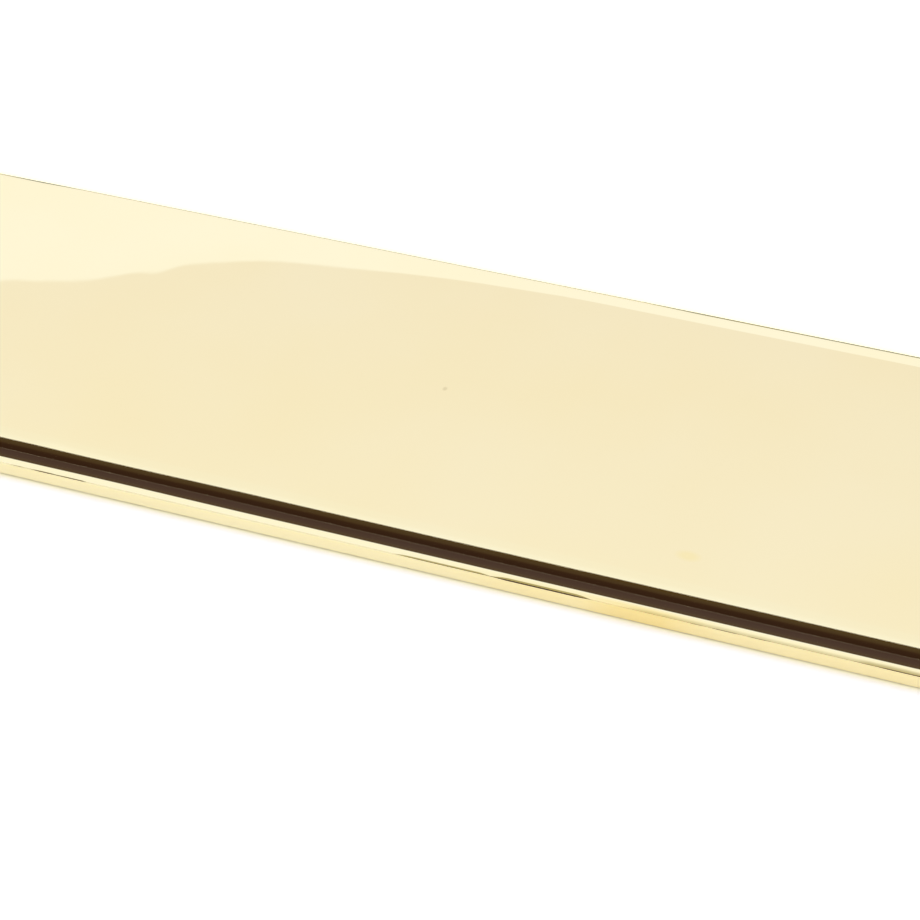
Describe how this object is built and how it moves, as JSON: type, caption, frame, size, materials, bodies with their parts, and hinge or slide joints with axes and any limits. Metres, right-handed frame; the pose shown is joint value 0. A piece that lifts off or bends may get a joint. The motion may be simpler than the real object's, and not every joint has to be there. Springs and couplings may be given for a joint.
{
  "type": "door finger plate",
  "caption": "Flat rectangular brass finger plate with a raised panel inside a stepped border and countersunk screw holes, fixed to a door where hands push it.",
  "frame": {"origin": "centre of the flat back, which lies on the door or on a table", "axes": "+X along the plate's length, up the door once fixed; +Y across its width; +Z out of its face"},
  "size_m": [0.3, 0.065, 0.0041],
  "materials": {
    "polished_brass": "polished"
  },
  "bodies": {
    "root": {"finger_plate": "polished_brass"}
  },
  "joints": []
}
